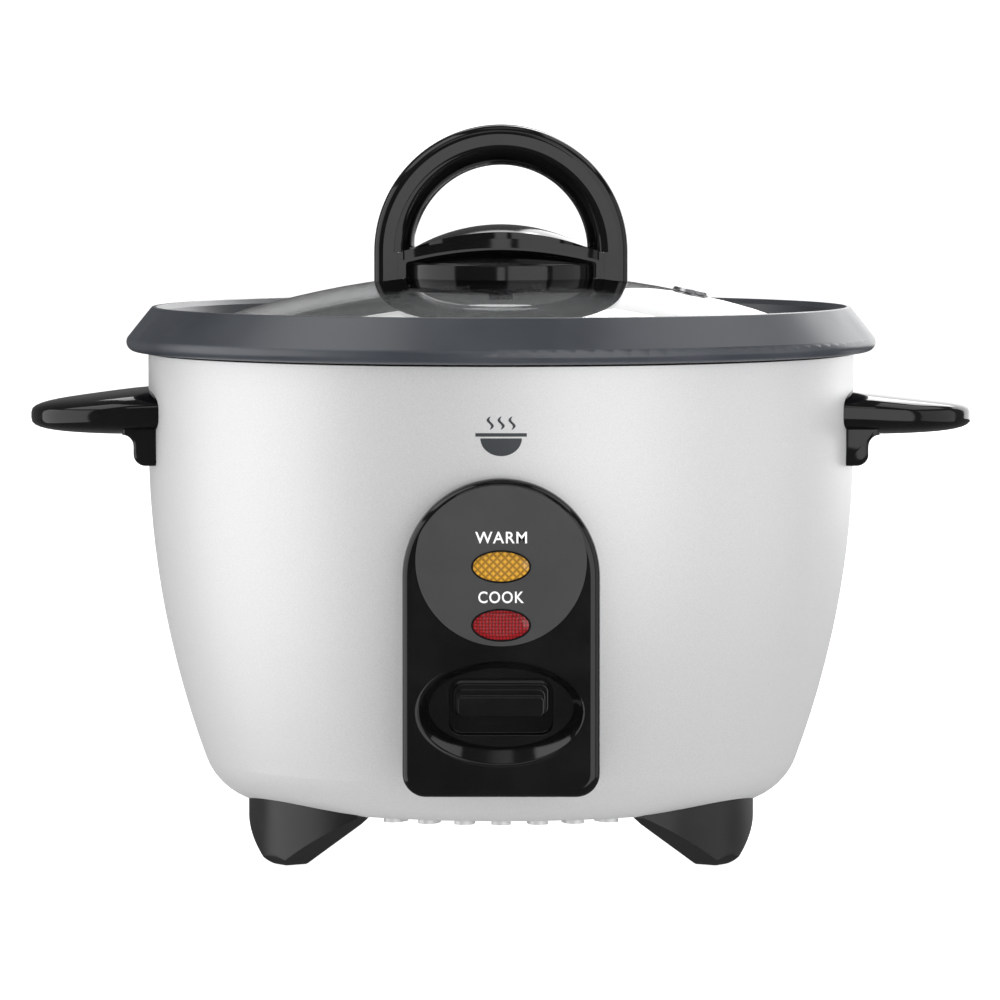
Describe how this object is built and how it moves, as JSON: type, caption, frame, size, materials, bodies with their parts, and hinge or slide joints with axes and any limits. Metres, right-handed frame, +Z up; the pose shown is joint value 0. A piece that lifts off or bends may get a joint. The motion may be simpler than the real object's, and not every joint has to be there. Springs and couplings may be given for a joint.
{
  "type": "rice cooker",
  "caption": "Small drum rice cooker: round steel body on splayed feet, lift-out coated pot with a flared rim, domed glass lid with arch handle, two side grips and a cook switch.",
  "frame": {"origin": "on the floor, on the vertical axis of the body and pot", "axes": "+Z up, -Y the front with the control panel, +X to the right of someone facing the front, through the right side grip"},
  "size_m": [0.27, 0.215, 0.2084],
  "materials": {
    "shell_paint": "pearl white satin coating with a fine metallic grain",
    "pot_coating": "dark blue-grey non-stick coating, satin",
    "lid_glass": "clear tempered glass",
    "black_gloss": "polished black moulding",
    "indicator_face": "dark grey smooth plate",
    "foot_plastic": "satin charcoal moulding",
    "amber_lens": "translucent amber, prismatic inside",
    "red_lens": "translucent red, prismatic inside",
    "liner_steel": "plain galvanised sheet",
    "cast_aluminium": "turned cast aluminium",
    "steel": "bright zinc-plated steel",
    "spring_steel": "plain spring wire",
    "ferrite": "sintered dark grey",
    "inner_plastic": "black heat-resistant moulding",
    "ceramic": "off-white ceramic",
    "lamp_glass": "small neon lamp",
    "pin_brass": "nickelled brass",
    "silicone": "grey silicone",
    "wire_red": "silicone insulated wire",
    "wire_blue": "silicone insulated wire",
    "wire_green": "silicone insulated wire"
  },
  "bodies": {
    "cooker_body": {"base_plate": "liner_steel", "body_shell": "shell_paint", "contact_switch": "inner_plastic", "control_panel": "black_gloss", "cook_bezel": "black_gloss", "cook_lamp": "lamp_glass", "cook_lens": "red_lens", "foot_front_left": "foot_plastic", "foot_front_right": "foot_plastic", "foot_rear_left": "foot_plastic", "foot_rear_right": "foot_plastic", "foot_screws": "steel", "fuse_clamp": "steel", "handle_screws": "steel", "heater_element": "steel", "heating_plate": "cast_aluminium", "indicator_plate": "indicator_face", "inlet_pins": "pin_brass", "inlet_surround": "black_gloss", "inner_liner": "liner_steel", "keep_warm_heater": "ceramic", "lamp_holder": "inner_plastic", "lever_bracket": "steel", "lever_pin": "steel", "lever_spring": "spring_steel", "plate_posts": "steel", "post_screws": "steel", "power_inlet": "inner_plastic", "sensor_sleeve": "steel", "sensor_spring": "spring_steel", "side_handle_left": "black_gloss", "side_handle_right": "black_gloss", "thermal_fuse": "ceramic", "warm_bezel": "black_gloss", "warm_lamp": "lamp_glass", "warm_lens": "amber_lens", "wire_earth": "wire_green", "wire_lamps": "wire_red", "wire_live": "wire_red", "wire_neutral": "wire_blue"},
    "inner_pot": {"inner_pot": "pot_coating"},
    "lid": {"lid_glass": "lid_glass", "steam_vent": "steel", "lid_handle": "black_gloss", "lid_handle_base": "black_gloss", "lid_handle_cap": "black_gloss", "lid_seal": "silicone", "lid_washer": "steel", "lid_screw": "steel"},
    "cook_switch": {"switch_lever": "steel", "cook_button": "black_gloss"},
    "magnet_assembly": {"magnet": "ferrite", "magnet_rod": "steel"},
    "contact_plunger": {"switch_plunger": "inner_plastic"},
    "pot_sensor": {"sensor_cap": "cast_aluminium", "ferrite_core": "ferrite"}
  },
  "joints": [
    {"name": "pot_lift", "type": "slide", "parent": "cooker_body", "child": "inner_pot", "axis": [0, 0, 1], "range_m": [0, 0.12]},
    {"name": "lid_lift", "type": "slide", "parent": "inner_pot", "child": "lid", "axis": [0, 0, 1], "range_m": [0, 0.08]},
    {"name": "cook_press", "type": "hinge", "parent": "cooker_body", "child": "cook_switch", "pos_m": [0, -0.044, 0.031], "axis": [1, 0, 0], "range_deg": [0, 4.8], "stiffness_Nm_per_rad": 0.6, "springref_deg": -8.59, "deforming": ["lever_spring"]},
    {"name": "magnet_rise", "type": "slide", "parent": "cooker_body", "child": "magnet_assembly", "axis": [0, 0, 1], "range_m": [0, 0.0038]},
    {"name": "plunger_travel", "type": "slide", "parent": "cooker_body", "child": "contact_plunger", "axis": [0, 0, 1], "range_m": [-0.0012, 0]},
    {"name": "sensor_press", "type": "slide", "parent": "cooker_body", "child": "pot_sensor", "axis": [0, 0, 1], "range_m": [-0.0008, 0], "stiffness_N_per_m": 300, "springref_m": 0.004, "deforming": ["sensor_spring"]}
  ],
  "couplings": [
    {"joint": "magnet_rise", "follows": "cook_press", "m_per_rad": 0.044},
    {"joint": "plunger_travel", "follows": "cook_press", "m_per_rad": -0.0135}
  ]
}
